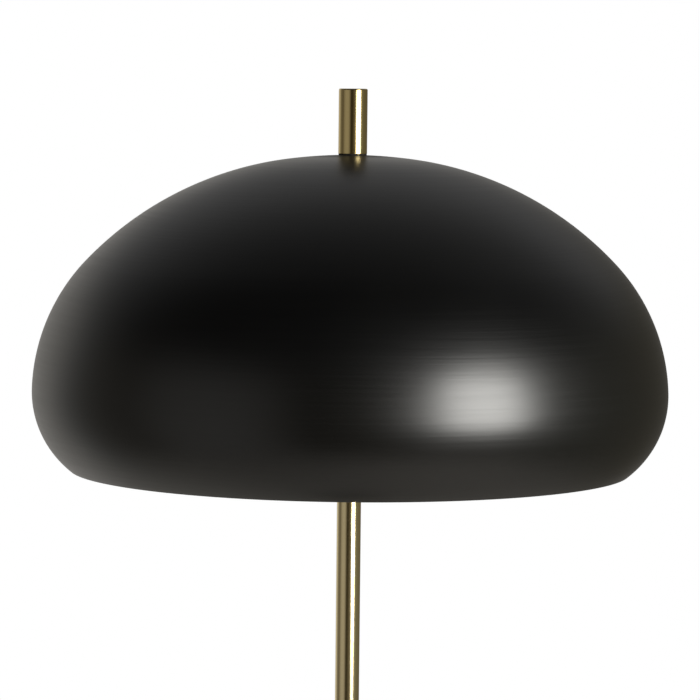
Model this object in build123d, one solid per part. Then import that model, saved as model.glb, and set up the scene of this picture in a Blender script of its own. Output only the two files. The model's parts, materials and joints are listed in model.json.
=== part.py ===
from build123d import *
import math
import os

# Mushroom floor lamp: a spun metal dome shade held on a threaded rod by a turned brass finial,
# over a two-light cluster that hides inside the dome, on a brass tube stem in three screwed
# sections and a round weighted base.
# Millimetres, +Z up. The origin is the middle of the underside, on the floor. -Y is the front,
# where the switch knobs are, and +Y is the back, where the supply cord enters the base.

# ------------------------------------------------------------------ driving dimensions
lamp_height = 1500.0          # floor to the top of the finial

# Base
base_height = 22.0            # floor to the top of the pressed cover
cover_radius = 140.0
cover_wall = 1.2
cover_edge_round = 6.0
cover_floor_gap = 1.0         # the skirt stops short of the floor, so that the pad carries
pad_thickness = 2.0
pad_margin = 5.0              # from the pad's edge to the edge of the weight
weight_gap = 0.5              # round the weight, inside the cover
weight_recess_depth = 6.0     # ring-shaped hollow in the top of the casting
weight_boss_radius = 32.0
weight_rim_width = 24.0
nut_pocket_radius = 16.0
nut_pocket_depth = 14.0
cord_channel_gap = 0.5        # round the grommet's inner flange

# Cord inlet at the back of the base
inlet_height = 8.0            # axis of the grommet over the floor
inlet_bore_radius = 3.3
inlet_hole_depth = 4.0        # the hole in the skirt is cut this far in
grommet_radius = 4.5          # where it passes the skirt
grommet_flange = 1.5          # how far its flanges stand out round that
grommet_flange_thickness = 1.6

# Lamp thread M10 x 1, shown as plain cylinders
thread_radius = 5.0
thread_clearance = 0.05
wire_bore_radius = 3.4
nut_across_flats = 14.0
nut_height = 4.0
nut_projection = 0.6          # thread that stands out past a nut
washer_radius = 10.5
washer_thickness = 1.6
lock_washer_radius = 8.6
lock_washer_thickness = 1.8
lock_washer_gap = 1.6

# Stem
stem_radius = 8.0
stem_wall = 1.5
stem_sections = 3
insert_length = 16.0          # threaded insert brazed into each tube end
braze_gap = 0.02
joint_nipple_length = 26.0
collar_radius = 14.0
collar_height = 11.0
collar_floor = 3.0
collar_edge = 1.5
slip_clearance = 0.05         # tube in collar, and lid in cluster

# Shade: four tangent arcs from the crown to the turned-in lip. Angles are those of the
# surface's outward normal, from straight up.
shade_radius = 210.0
shade_wall = 1.0
crown_radius = 316.0
crown_end = 7.7
flank_radius = 224.0
flank_end = 46.4
shoulder_end = 87.8
lip_radius = 65.5
lip_end = 141.7
hem_radius = 1.6              # rolled hem on the inside of the rim
land_radius = 10.0            # flat that the finial clamps
through_clearance = 0.3       # round a rod in a plain hole

# Shade mounting
gasket_radius = 22.0
gasket_thickness = 1.0
seat_radius = 24.0
seat_thickness = 3.0
neck_radius = 8.0

# Finial
finial_radius = 9.5
finial_height = 42.9
finial_edge = 1.0
finial_foot_edge = 0.3        # at the washer
finial_engagement = 14.0      # thread inside the finial
finial_bore_spare = 3.0       # bore left over past the end of the rod
finial_washer_radius = 9.3
finial_washer_thickness = 0.8

# Two-light cluster
cluster_drop = 78.0           # shade land down to the point where the holder axes cross
cluster_radius = 24.0
cluster_wall = 3.0
cluster_floor = 4.0
cluster_below = 24.0          # underside of the cup, below the crossing point
cluster_above = 14.0          # rim of the cup, over the crossing point
cluster_edge = 5.0
holder_tilt = 30.0            # holder axes below the horizontal, degrees
boss_radius = 9.0
boss_root = 6.8               # from the crossing point to where a boss and its bore start
boss_stand_off = 1.5          # least distance of the face that a holder seats on, from the cup
lid_thickness = 3.0
lid_spigot = 3.0
lid_edge = 1.5
arm_nipple_inner = 12.0       # nipple inwards from the boss face
lead_radius = 1.1
lead_spacing = 3.2
lead_turn = 20.4              # from the crossing point to the first bend of each lead
lead_bend = 2.6
connector_radius = 3.4
connector_tip_radius = 2.4
connector_length = 12.0
connector_offset = 13.0       # from the middle, to the front and the back
connector_mouth = -4.0        # over the crossing point
connector_depth = 4.0         # how far a lead runs straight below the mouth, and again above it

# Lampholders: lengths run along the holder from the face of the boss
holder_radius = 19.5
holder_sheet = 0.8
holder_neck_radius = 8.0
holder_neck_length = 5.0
holder_cap_length = 22.0
holder_gap = 0.1              # between nested holder parts
liner_wall = 0.8
switch_body_end = 34.0
screw_shell_wall = 0.4
screw_shell_end = 61.0
liner_end = 63.0
shell_end = 64.0
contact_radius = 3.5
contact_height = 1.6
contact_hole_gap = 1.5
lead_socket_depth = 3.0

# Turn-knob switches
knob_position = 27.0          # along the holder
knob_gap = 2.5                # holder to knob
knob_radius = 6.5
knob_length = 14.0
knob_flutes = 10
knob_flute_radius = 1.1
knob_edge = 0.8
shaft_radius = 1.9
shaft_clearance = 0.08
shaft_root = 6.0              # from the holder axis to the inner end of the shaft
shaft_window_gap = 1.1
shaft_fit = 0.02
shaft_in_knob = 10.0

# Bulbs, E27 cap and 60 mm globe
bulb_cap_radius = 13.0
bulb_cap_wall = 0.4
bulb_cap_length = 24.0
bulb_thread_clearance = 0.3
bulb_length = 110.0           # tip contact to the far side of the glass
bulb_globe_radius = 30.0
bulb_neck_radius = 12.5
bulb_neck_length = 4.0        # straight neck outside the cap
bulb_neck_inside = 6.0        # neck cemented inside the cap
bulb_glass = 1.0
bulb_tip_radius = 4.2
bulb_tip_height = 0.8
bulb_insulator_height = 2.5
bulb_insulator_radius = 10.0
bulb_contact_gap = 0.1

# ------------------------------------------------------------------ places worked out from them
finial_bottom = lamp_height - finial_height
shade_land = finial_bottom - finial_washer_thickness
crown_apex = shade_land + crown_radius - math.sqrt(crown_radius ** 2 - land_radius ** 2)
gasket_land = shade_land - shade_wall
seat_land = gasket_land - gasket_thickness
seat_bottom = seat_land - seat_thickness
rod_top = finial_bottom + finial_engagement
tapped_radius = thread_radius + thread_clearance
plain_hole_radius = thread_radius + through_clearance

cluster_z = shade_land - cluster_drop
cluster_bottom = cluster_z - cluster_below
cluster_rim = cluster_z + cluster_above
cluster_cavity_radius = cluster_radius - cluster_wall
cluster_cavity_floor = cluster_bottom + cluster_floor
lid_top = cluster_rim + lid_thickness
lid_bottom = cluster_rim - lid_spigot

tilt = math.radians(holder_tilt)
boss_reach = (cluster_radius + boss_stand_off + holder_neck_radius * math.sin(tilt)) / math.cos(tilt)

stem_bottom = base_height + collar_floor
stem_top = cluster_bottom
stem_section = (stem_top - stem_bottom) / stem_sections

weight_radius = cover_radius - cover_wall - weight_gap
weight_top = base_height - cover_wall
nut_pocket_top = pad_thickness + nut_pocket_depth
base_nut_bottom = nut_pocket_top - washer_thickness - lock_washer_thickness - nut_height
grommet_flange_radius = grommet_radius + grommet_flange

shell_radius = holder_radius - holder_sheet - holder_gap
liner_radius = shell_radius - holder_sheet - holder_gap
switch_body_radius = liner_radius - liner_wall - holder_gap
holder_floor = holder_neck_length + holder_sheet
holder_shoulder = holder_neck_length + holder_radius - holder_neck_radius
screw_shell_radius = bulb_cap_radius + bulb_thread_clearance + screw_shell_wall
bulb_tip = switch_body_end + contact_height + bulb_contact_gap
bulb_insulator_bottom = bulb_tip + bulb_tip_height
bulb_cap_bottom = bulb_insulator_bottom + bulb_insulator_height
bulb_cap_end = bulb_cap_bottom + bulb_cap_length
bulb_globe_centre = bulb_tip + bulb_length - bulb_globe_radius


# ------------------------------------------------------------------ helpers
def disc(radius, low, high):
    """Solid cylinder on the Z axis from low to high."""
    return Pos(0, 0, low) * Cylinder(radius, high - low, align=(Align.CENTER, Align.CENTER, Align.MIN))


def ring(outer, inner, low, high):
    """Cylinder with a through hole."""
    return disc(outer, low, high) - disc(inner, low - 1, high + 1)


def turned(edges):
    """Solid turned about Z from a closed outline in the plane of X and Z."""
    return revolve(make_face(edges), Axis.Z, 360)


def turned_outline(*points):
    """Solid turned about Z from corner points (radius, height)."""
    return turned(Polyline([(r, 0, z) for r, z in points], close=True))


def round_edge(solid, height, size):
    """Round the circular edges of the largest radius at one height."""
    level = [e for e in solid.edges().filter_by(GeomType.CIRCLE) if abs(e.center().Z - height) < 1e-4]
    widest = max(e.radius for e in level)
    return fillet([e for e in level if e.radius > widest - 1e-4], size)


def hex_nut(low):
    """Thin lamp nut with its lower face at the given height."""
    blank = extrude(RegularPolygon(nut_across_flats / 2, 6, major_radius=False), nut_height)
    return Pos(0, 0, low) * blank - disc(tapped_radius, low - 1, low + nut_height + 1)


def nipple(low, high):
    """Threaded hollow nipple on the Z axis."""
    return ring(thread_radius, wire_bore_radius, low, high)


def holder_place(side):
    """Frame of a lampholder: Z runs out along the holder and X points to the front."""
    along = Vector(side * math.cos(tilt), 0, -math.sin(tilt))
    origin = Vector(0, 0, cluster_z) + along * boss_reach
    return Plane(origin=origin, x_dir=(0, -1, 0), z_dir=along).location


# ------------------------------------------------------------------ shade outline
def shade_arc_list():
    """Radius and end angle of each arc. The shoulder's radius makes the shade its full width."""
    sine = [math.sin(math.radians(a)) for a in (crown_end, flank_end, shoulder_end)]
    inner_reach = crown_radius * sine[0] + flank_radius * (sine[1] - sine[0])
    lip_reach = lip_radius * (1 - sine[2])
    shoulder_radius = (shade_radius - inner_reach - lip_reach) / (sine[2] - sine[1])
    return [(crown_radius, crown_end), (flank_radius, flank_end),
            (shoulder_radius, shoulder_end), (lip_radius, lip_end)]


def outline_point(centre, radius, angle):
    """Point of an arc whose outward normal is the given angle from straight up."""
    a = math.radians(angle)
    return Vector(centre[0] + radius * math.sin(a), 0, centre[1] + radius * math.cos(a))


def outline_arc(centre, radius, start, end):
    middle = (start + end) / 2
    return ThreePointArc(*(outline_point(centre, radius, a) for a in (start, middle, end)))


def shade_centres():
    """Arc centres (radius, height): each next one lies on the normal where two arcs meet."""
    arcs = shade_arc_list()
    centres = [(0.0, crown_apex - crown_radius)]
    for (radius, end), (next_radius, _) in zip(arcs, arcs[1:]):
        a = math.radians(end)
        r, z = centres[-1]
        centres.append((r + (radius - next_radius) * math.sin(a), z + (radius - next_radius) * math.cos(a)))
    return centres


def land_angle(inset):
    """Angle at which the crown, inset by that much, meets its flat land."""
    return math.degrees(math.acos((crown_radius - crown_apex + shade_land - inset) / (crown_radius - inset)))


def skin_arcs(inset, last_end):
    """Arcs of the shade's skin, inset from the outside, from the land to the given last angle."""
    start = land_angle(inset)
    edges = []
    for (radius, end), centre in zip(shade_arc_list(), shade_centres()):
        end = min(end, last_end)
        edges.append(outline_arc(centre, radius - inset, start, end))
        start = end
    return edges


def make_shade():
    """Spun dome: outer skin, rolled hem round the rim and inner skin as one turned outline."""
    centre = shade_centres()[-1]
    hem_reach = lip_radius - hem_radius
    inner_radius = lip_radius - shade_wall
    cosine = (hem_reach ** 2 + inner_radius ** 2 - hem_radius ** 2) / (2 * hem_reach * inner_radius)
    inner_end = lip_end - math.degrees(math.acos(cosine))
    outer = skin_arcs(0, lip_end)
    inner = skin_arcs(shade_wall, inner_end)
    hem_centre = outline_point(centre, hem_reach, lip_end)
    a = math.radians(lip_end)
    hem_tip = hem_centre + Vector(math.cos(a), 0, -math.sin(a)) * hem_radius
    hem = ThreePointArc(outer[-1] @ 1, hem_tip, inner[-1] @ 1)
    top, bottom = outer[0] @ 0, inner[0] @ 0
    hole_top = Vector(plain_hole_radius, 0, shade_land)
    hole_bottom = Vector(plain_hole_radius, 0, gasket_land)
    lands = [Line(hole_top, top), Line(hole_bottom, bottom), Line(hole_top, hole_bottom)]
    return turned(outer + inner + [hem] + lands)


def dished_disc(inset, land_height, radius, bore, bottom_edges):
    """Turned disc whose top follows the shade at an inset, closed below by bottom_edges."""
    angle = math.degrees(math.asin(radius / (crown_radius - inset)))
    crown = outline_arc(shade_centres()[0], crown_radius - inset, land_angle(inset), angle)
    land = Line((bore, 0, land_height), crown @ 0)
    return turned([land, crown] + bottom_edges(crown @ 1))


def make_shade_gasket():
    """Fibre ring between the seat and the shade, dished like both."""
    under = shade_wall + gasket_thickness
    angle = math.degrees(math.asin(gasket_radius / (crown_radius - under)))
    lower = outline_arc(shade_centres()[0], crown_radius - under, land_angle(under), angle)

    def bottom(corner):
        return [Line(corner, lower @ 1), lower, Line(lower @ 0, (plain_hole_radius, 0, seat_land)),
                Line((plain_hole_radius, 0, seat_land), (plain_hole_radius, 0, gasket_land))]
    return dished_disc(shade_wall, gasket_land, gasket_radius, plain_hole_radius, bottom)


def make_shade_seat():
    """Tapped plate, dished on top to the shade's own curve, tightened down on the neck tube."""
    def bottom(corner):
        return [Line(corner, (seat_radius, 0, seat_bottom)),
                Line((seat_radius, 0, seat_bottom), (tapped_radius, 0, seat_bottom)),
                Line((tapped_radius, 0, seat_bottom), (tapped_radius, 0, seat_land))]
    return dished_disc(shade_wall + gasket_thickness, seat_land, seat_radius, tapped_radius, bottom)


# ------------------------------------------------------------------ base
def make_base_pad():
    return disc(weight_radius - pad_margin, 0, pad_thickness)


def make_base_weight():
    """Iron casting: rim and boss carry the cover, with a nut pocket and a cord channel below."""
    blank = round_edge(disc(weight_radius, pad_thickness, weight_top), weight_top, cover_edge_round)
    recess = ring(weight_radius - weight_rim_width, weight_boss_radius,
                  weight_top - weight_recess_depth, weight_top + 1)
    pocket = disc(nut_pocket_radius, 0, nut_pocket_top)
    half_width = grommet_flange_radius + cord_channel_gap
    channel = Pos(0, 0, inlet_height + half_width) * Box(
        half_width * 2, weight_radius + 1, inlet_height + half_width,
        align=(Align.CENTER, Align.MIN, Align.MAX))
    return blank - recess - pocket - channel - disc(plain_hole_radius, 0, base_height)


def inlet_place():
    """Frame of the cord inlet: Z runs out of the base, from the outside of the skirt."""
    return Plane(origin=(0, cover_radius, inlet_height), x_dir=(1, 0, 0), z_dir=(0, 1, 0)).location


def make_base_cover():
    """Pressed steel shell with a rounded edge, a centre hole and the inlet hole at the back."""
    outside = disc(cover_radius, cover_floor_gap, base_height)
    outside = round_edge(outside, base_height, cover_edge_round)
    inside = disc(cover_radius - cover_wall, 0, base_height - cover_wall)
    inside = round_edge(inside, base_height - cover_wall, cover_edge_round - cover_wall)
    inlet_hole = inlet_place() * disc(grommet_radius, -inlet_hole_depth, cover_wall)
    return outside - inside - disc(plain_hole_radius, 0, base_height + 1) - inlet_hole


def make_cord_grommet():
    """Flanged bush in the skirt of the cover."""
    outer = disc(grommet_flange_radius, 0, grommet_flange_thickness)
    outer = round_edge(outer, grommet_flange_thickness, grommet_flange_thickness / 2)
    sag = cover_radius - math.sqrt(cover_radius ** 2 - grommet_flange_radius ** 2)
    inner_face = -cover_wall - sag
    inner = disc(grommet_flange_radius, inner_face - grommet_flange_thickness, inner_face)
    body = disc(grommet_radius, inner_face, 0)
    bush = outer + body + inner
    return inlet_place() * (bush - disc(inlet_bore_radius, -cover_radius, cover_radius))


def make_base_washer():
    return ring(washer_radius, plain_hole_radius, nut_pocket_top - washer_thickness, nut_pocket_top)


def make_base_lock_washer():
    """Split spring washer under the plain washer."""
    top = nut_pocket_top - washer_thickness
    gap = Pos(lock_washer_radius / 2, 0, top) * Box(lock_washer_radius * 2, lock_washer_gap, top)
    gap = gap & Pos(lock_washer_radius, 0, top) * Box(lock_washer_radius * 2, lock_washer_gap, top)
    return ring(lock_washer_radius, plain_hole_radius, top - lock_washer_thickness, top) - gap


def make_base_nut():
    return hex_nut(base_nut_bottom)


def make_foot_nipple():
    return nipple(base_nut_bottom - nut_projection, stem_bottom + insert_length - nut_projection)


def make_foot_collar():
    """Turned brass foot: the cover is clamped under it and the stem stands in it."""
    blank = disc(collar_radius, base_height, base_height + collar_height)
    blank = round_edge(blank, base_height + collar_height, collar_edge)
    socket = disc(stem_radius + slip_clearance, stem_bottom, base_height + collar_height + 1)
    return blank - socket - disc(plain_hole_radius, 0, stem_bottom + 1)


# ------------------------------------------------------------------ stem
def section_bottom(index):
    return stem_bottom + stem_section * index


def make_stem_tube(index):
    low = section_bottom(index)
    return ring(stem_radius, stem_radius - stem_wall, low, low + stem_section)


def make_stem_inserts():
    """Tapped bush brazed into each end of each tube."""
    outer = stem_radius - stem_wall - braze_gap
    inserts = []
    for index in range(stem_sections):
        low = section_bottom(index)
        high = low + stem_section
        inserts.append(ring(outer, tapped_radius, low, low + insert_length))
        inserts.append(ring(outer, tapped_radius, high - insert_length, high))
    return Compound(inserts)


def make_stem_joint_nipples():
    """Nipples that screw the tubes together, half in each."""
    half = joint_nipple_length / 2
    return Compound([nipple(section_bottom(i) - half, section_bottom(i) + half)
                     for i in range(1, stem_sections)])


# ------------------------------------------------------------------ cluster and rod
def make_cluster_nipple():
    """Holds the cup on the top of the stem."""
    return nipple(stem_top - joint_nipple_length / 2,
                  cluster_cavity_floor + nut_height + nut_projection)


def make_cluster_nut():
    return hex_nut(cluster_cavity_floor)


def make_cluster_body():
    """Turned cup with two tapped bosses that aim the holders out and down."""
    cup = disc(cluster_radius, cluster_bottom, cluster_rim)
    cup = round_edge(cup, cluster_bottom, cluster_edge)
    for side in (-1, 1):
        cup += holder_place(side) * disc(boss_radius, boss_root - boss_reach, 0)
    cavity = disc(cluster_cavity_radius, cluster_cavity_floor, cluster_rim + 1)
    cup = cup - cavity - disc(plain_hole_radius, cluster_bottom - 1, cluster_rim)
    for side in (-1, 1):
        cup -= holder_place(side) * disc(tapped_radius, boss_root - boss_reach, 1)
    return cup


def make_cluster_lid():
    """Lid with a spigot in the cup and a tapped centre for the rod."""
    plate = round_edge(disc(cluster_radius, cluster_rim, lid_top), lid_top, lid_edge)
    spigot = disc(cluster_cavity_radius - slip_clearance, lid_bottom, cluster_rim)
    return plate + spigot - disc(tapped_radius, lid_bottom - 1, lid_top + 1)


def make_rod_nut():
    """Locks the rod against the underside of the lid."""
    return hex_nut(lid_bottom - nut_height)


def make_shade_rod():
    return disc(thread_radius, lid_bottom - nut_height - nut_projection, rod_top)


def make_neck_tube():
    """Plain tube over the rod, between the lid and the shade seat."""
    return ring(neck_radius, plain_hole_radius, lid_top, seat_bottom)


def make_arm_nipples():
    """One nipple from each boss into the cap of its holder."""
    inner = -arm_nipple_inner
    return Compound([holder_place(side) * nipple(inner, holder_floor) for side in (-1, 1)])


def connector_centre(lane):
    """Front (-1) or back (1) wire connector, standing with its mouth down."""
    return Vector(0, lane * connector_offset, cluster_z + connector_mouth)


def make_wire_connectors():
    """Crimped closed-end caps, open below, that join the leads to the supply."""
    caps = []
    for lane in (-1, 1):
        cap = turned_outline((0, 0), (connector_radius, 0), (connector_radius, connector_length / 2),
                             (connector_tip_radius, connector_length), (0, connector_length))
        mouth = disc(connector_radius - holder_sheet, -1, connector_length / 2)
        caps.append(Pos(*connector_centre(lane)) * (cap - mouth))
    return Compound(caps)


def make_socket_leads():
    """Two insulated leads from each holder, through its nipple, up into the connectors."""
    section = Circle(lead_radius)
    leads = []
    for side in (-1, 1):
        place = holder_place(side)
        for lane in (-1, 1):
            offset = -lane * lead_spacing / 2
            start = (place * Pos(offset, 0, holder_floor + lead_socket_depth)).position
            turn = (place * Pos(offset, 0, lead_turn - boss_reach)).position
            mouth = connector_centre(lane) + Vector(side * (lead_radius + holder_gap), 0, 0)
            below = mouth - Vector(0, 0, connector_depth)
            top = mouth + Vector(0, 0, connector_depth)
            route = FilletPolyline(start, turn, below, top, radius=lead_bend)
            profile = Plane(origin=route @ 0, z_dir=route % 0) * section
            leads.append(sweep(profile, path=route))
    return Compound(leads)


# ------------------------------------------------------------------ lampholders, in their own frame
def make_socket_cap():
    """Domed brass cap with a tapped neck."""
    def dome(inset, low):
        shoulder_centre = (holder_neck_radius, holder_shoulder)
        reach = holder_radius - holder_neck_radius - inset
        arc = ThreePointArc(*(outline_point(shoulder_centre, reach, a) for a in (180, 135, 90)))
        foot = Vector(0, 0, low)
        corner = Vector(holder_neck_radius, 0, low)
        end = Vector(holder_radius - inset, 0, holder_cap_length)
        top = Vector(0, 0, holder_cap_length)
        edges = [Line(foot, corner), arc, Line(arc @ 1, end), Line(end, top), Line(top, foot)]
        if (corner - arc @ 0).length > 1e-6:
            edges.append(Line(corner, arc @ 0))
        return turned(edges)
    return dome(0, 0) - dome(holder_sheet, holder_floor) - disc(tapped_radius, -1, holder_cap_length)


def shaft_hole(radius, inner, outer):
    """Cylinder along the switch shaft, which points to the front."""
    along = Plane(origin=(0, 0, knob_position), x_dir=(0, 1, 0), z_dir=(1, 0, 0)).location
    return along * disc(radius, inner, outer)


def make_socket_shell():
    """Brass sleeve that slips into the cap, with a window for the switch shaft."""
    sleeve = ring(shell_radius, shell_radius - holder_sheet, holder_shoulder, shell_end)
    return sleeve - shaft_hole(shaft_radius + shaft_window_gap, 0, holder_radius + 1)


def make_socket_liner():
    """Insulating sleeve inside the shell."""
    sleeve = ring(liner_radius, liner_radius - liner_wall, holder_shoulder, liner_end)
    return sleeve - shaft_hole(shaft_radius + shaft_window_gap, 0, holder_radius + 1)


def make_switch_body():
    """Moulded body that holds the rotary switch and carries the screw shell."""
    body = turned_outline((0, holder_floor), (holder_neck_radius - holder_gap, holder_floor),
                          (switch_body_radius, holder_shoulder), (switch_body_radius, switch_body_end),
                          (0, switch_body_end))
    for lane in (-1, 1):
        body -= Pos(lane * lead_spacing / 2, 0, 0) * disc(
            lead_radius + holder_gap, holder_floor - 1, holder_floor + lead_socket_depth)
    return body - shaft_hole(shaft_radius + shaft_clearance, shaft_root - holder_gap, holder_radius)


def make_screw_shell():
    """Screw shell that takes the cap of the bulb."""
    inner = screw_shell_radius - screw_shell_wall
    floor_top = switch_body_end + screw_shell_wall
    cup = disc(screw_shell_radius, switch_body_end, screw_shell_end)
    cup -= disc(inner, floor_top, screw_shell_end + 1)
    return cup - disc(contact_radius + contact_hole_gap, 0, shell_end)


def make_centre_contact():
    return disc(contact_radius, switch_body_end, switch_body_end + contact_height)


def make_switch_shaft():
    knob_start = shell_radius + knob_gap
    return shaft_hole(shaft_radius, shaft_root, knob_start + shaft_in_knob)


def make_switch_knob():
    """Fluted knob with a blind hole for the shaft."""
    knob_start = shell_radius + knob_gap
    blank = round_edge(disc(knob_radius, 0, knob_length), knob_length, knob_edge)
    for flute in PolarLocations(knob_radius + knob_flute_radius / 2, knob_flutes):
        blank -= flute * disc(knob_flute_radius, -1, knob_length + 1)
    blank -= disc(shaft_radius + shaft_fit, -1, shaft_in_knob)
    along = Plane(origin=(knob_start, 0, knob_position), x_dir=(0, 1, 0), z_dir=(1, 0, 0)).location
    return along * blank


# ------------------------------------------------------------------ bulbs, in the holder's frame
def glass_outline(inset):
    """Straight neck, hollow flare and round end, as edges from the neck's root to the tip."""
    neck = bulb_neck_radius
    rise = bulb_globe_centre - bulb_cap_end - bulb_neck_length
    flare = (rise ** 2 + neck ** 2 - bulb_globe_radius ** 2) / (2 * (bulb_globe_radius - neck))
    flare_centre = (neck + flare, bulb_cap_end + bulb_neck_length)
    meeting = math.degrees(math.atan2(neck + flare, rise))
    globe_centre = (0.0, bulb_globe_centre)
    globe = outline_arc(globe_centre, bulb_globe_radius - inset, 180 - meeting, 0)
    hollow = outline_arc(flare_centre, flare + inset, 270, 360 - meeting)
    root = Vector(neck - inset, 0, bulb_cap_end - bulb_neck_inside)
    return [Line(root, hollow @ 0), hollow, globe]


def make_bulb_globe():
    """Opal glass, open at the neck inside the cap."""
    outer, inner = glass_outline(0), glass_outline(bulb_glass)
    return turned(outer + inner + [Line(outer[0] @ 0, inner[0] @ 0), Line(outer[-1] @ 1, inner[-1] @ 1)])


def make_bulb_cap():
    """Screw cap with a turned-in bottom edge."""
    inner = bulb_cap_radius - bulb_cap_wall
    cup = disc(bulb_cap_radius, bulb_cap_bottom, bulb_cap_end)
    cup -= disc(inner, bulb_cap_bottom + bulb_cap_wall, bulb_cap_end + 1)
    return cup - disc(bulb_tip_radius, 0, shell_end)


def make_bulb_insulator():
    """Black glass cone under the cap."""
    return turned_outline((0, bulb_insulator_bottom), (bulb_tip_radius, bulb_insulator_bottom),
                          (bulb_insulator_radius, bulb_cap_bottom), (0, bulb_cap_bottom))


def make_bulb_contact():
    return disc(bulb_tip_radius, bulb_tip, bulb_insulator_bottom)


# ------------------------------------------------------------------ finial
def make_finial_washer():
    return ring(finial_washer_radius, plain_hole_radius, shade_land, finial_bottom)


def make_finial():
    """Turned brass rod with a blind tapped hole."""
    blank = disc(finial_radius, finial_bottom, lamp_height)
    blank = round_edge(blank, lamp_height, finial_edge)
    blank = round_edge(blank, finial_bottom, finial_foot_edge)
    return blank - disc(tapped_radius, finial_bottom - 1, rod_top + finial_bore_spare)


# ------------------------------------------------------------------ assembly
def single_parts():
    return {
        "base_pad": make_base_pad(), "base_weight": make_base_weight(), "base_cover": make_base_cover(),
        "cord_grommet": make_cord_grommet(), "base_washer": make_base_washer(),
        "base_lock_washer": make_base_lock_washer(), "base_nut": make_base_nut(),
        "foot_nipple": make_foot_nipple(), "foot_collar": make_foot_collar(),
        "stem_lower": make_stem_tube(0), "stem_middle": make_stem_tube(1), "stem_upper": make_stem_tube(2),
        "stem_inserts": make_stem_inserts(), "stem_joint_nipples": make_stem_joint_nipples(),
        "cluster_nipple": make_cluster_nipple(), "cluster_nut": make_cluster_nut(),
        "cluster_body": make_cluster_body(), "cluster_lid": make_cluster_lid(),
        "arm_nipples": make_arm_nipples(), "wire_connectors": make_wire_connectors(),
        "socket_leads": make_socket_leads(), "rod_nut": make_rod_nut(), "shade_rod": make_shade_rod(),
        "neck_tube": make_neck_tube(), "shade_seat": make_shade_seat(),
        "shade_gasket": make_shade_gasket(), "shade": make_shade(),
        "finial_washer": make_finial_washer(), "finial": make_finial(),
    }


def holder_parts():
    """Parts of one lampholder with its switch and bulb, in the holder's frame."""
    return {
        "socket_cap": make_socket_cap(), "socket_shell": make_socket_shell(),
        "socket_liner": make_socket_liner(), "switch_body": make_switch_body(),
        "screw_shell": make_screw_shell(), "centre_contact": make_centre_contact(),
        "switch_shaft": make_switch_shaft(), "switch_knob": make_switch_knob(),
        "bulb_cap": make_bulb_cap(), "bulb_globe": make_bulb_globe(),
        "bulb_insulator": make_bulb_insulator(), "bulb_contact": make_bulb_contact(),
    }


def assemble():
    parts = single_parts()
    for name, part in holder_parts().items():
        for side, word in ((-1, "left"), (1, "right")):
            parts[f"{name}_{word}"] = holder_place(side) * part
    return parts


os.makedirs("parts", exist_ok=True)
for node, solid in assemble().items():
    export_step(solid, os.path.join("parts", node + ".step"))
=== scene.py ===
import json
import math

import bpy
import numpy as np
from bpy.props import FloatProperty, FloatVectorProperty, IntProperty, PointerProperty
from bpy.types import Operator, Panel, PropertyGroup
from mathutils import Matrix, Vector


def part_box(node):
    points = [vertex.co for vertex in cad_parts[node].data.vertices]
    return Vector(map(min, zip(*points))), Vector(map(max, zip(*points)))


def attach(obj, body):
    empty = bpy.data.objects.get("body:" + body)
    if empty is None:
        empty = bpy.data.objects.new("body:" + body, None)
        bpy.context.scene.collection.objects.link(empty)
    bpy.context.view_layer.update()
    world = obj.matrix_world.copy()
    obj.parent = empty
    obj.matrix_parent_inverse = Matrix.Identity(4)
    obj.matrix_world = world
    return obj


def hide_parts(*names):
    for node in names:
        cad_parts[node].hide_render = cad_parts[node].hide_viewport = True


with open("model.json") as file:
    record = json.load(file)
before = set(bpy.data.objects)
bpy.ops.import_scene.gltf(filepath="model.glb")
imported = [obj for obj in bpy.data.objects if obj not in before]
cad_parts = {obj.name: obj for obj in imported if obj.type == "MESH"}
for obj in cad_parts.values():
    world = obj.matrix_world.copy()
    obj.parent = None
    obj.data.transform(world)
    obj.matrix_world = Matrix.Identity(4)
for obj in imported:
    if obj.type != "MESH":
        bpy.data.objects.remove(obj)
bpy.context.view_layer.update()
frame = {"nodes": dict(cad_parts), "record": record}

bl_info = {
    "name": "Mushroom floor lamp",
    "version": (1, 0, 0),
    "blender": (4, 5, 0),
    "location": "3D View > Sidebar > Lamp",
    "description": "Surfaces, finishes and studio for a floor lamp with a spun dome shade",
    "category": "Add Mesh",
}

SLOT_OF = {part["node"]: part["material_slot"] for part in frame["record"]["subparts"]}
BODY_OF = {node: body for body, nodes in frame["record"]["behaviour"]["bodies"].items()
           for node in nodes}
SIDES = {"left": -1, "right": 1}
TINY = 1e-9
HOLE_CELLS = 4
SENSOR_WIDTH = 36.0
WHITE, BLACK = (1.0, 1.0, 1.0), (0.0, 0.0, 0.0)
FINE_GRAIN = {"detail": 3.0, "roughness": 0.6}
ENAMEL_SHEEN = {"Specular IOR Level": 0.7}


# ---------------------------------------------------------------- sizes and colours
def length(label, meaning, default):
    """A length in metres."""
    return FloatProperty(name=label, description=meaning, default=default, min=0.0, precision=5,
                         unit="LENGTH")


def angle(label, meaning, degrees):
    """An angle, given here in degrees."""
    return FloatProperty(name=label, description=meaning, default=math.radians(degrees), subtype="ANGLE")


def share(label, meaning, default):
    """A share from 0 to 1."""
    return FloatProperty(name=label, description=meaning, default=default, min=0.0, max=1.0,
                         subtype="FACTOR")


def brightness(label, meaning, default):
    """A radiance, where 1 is white."""
    return FloatProperty(name=label, description=meaning, default=default, min=0.0)


def colour(label, meaning, default):
    """A linear colour."""
    return FloatVectorProperty(name=label, description=meaning, default=default, size=3, min=0.0,
                               max=1.0, subtype="COLOR")


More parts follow.
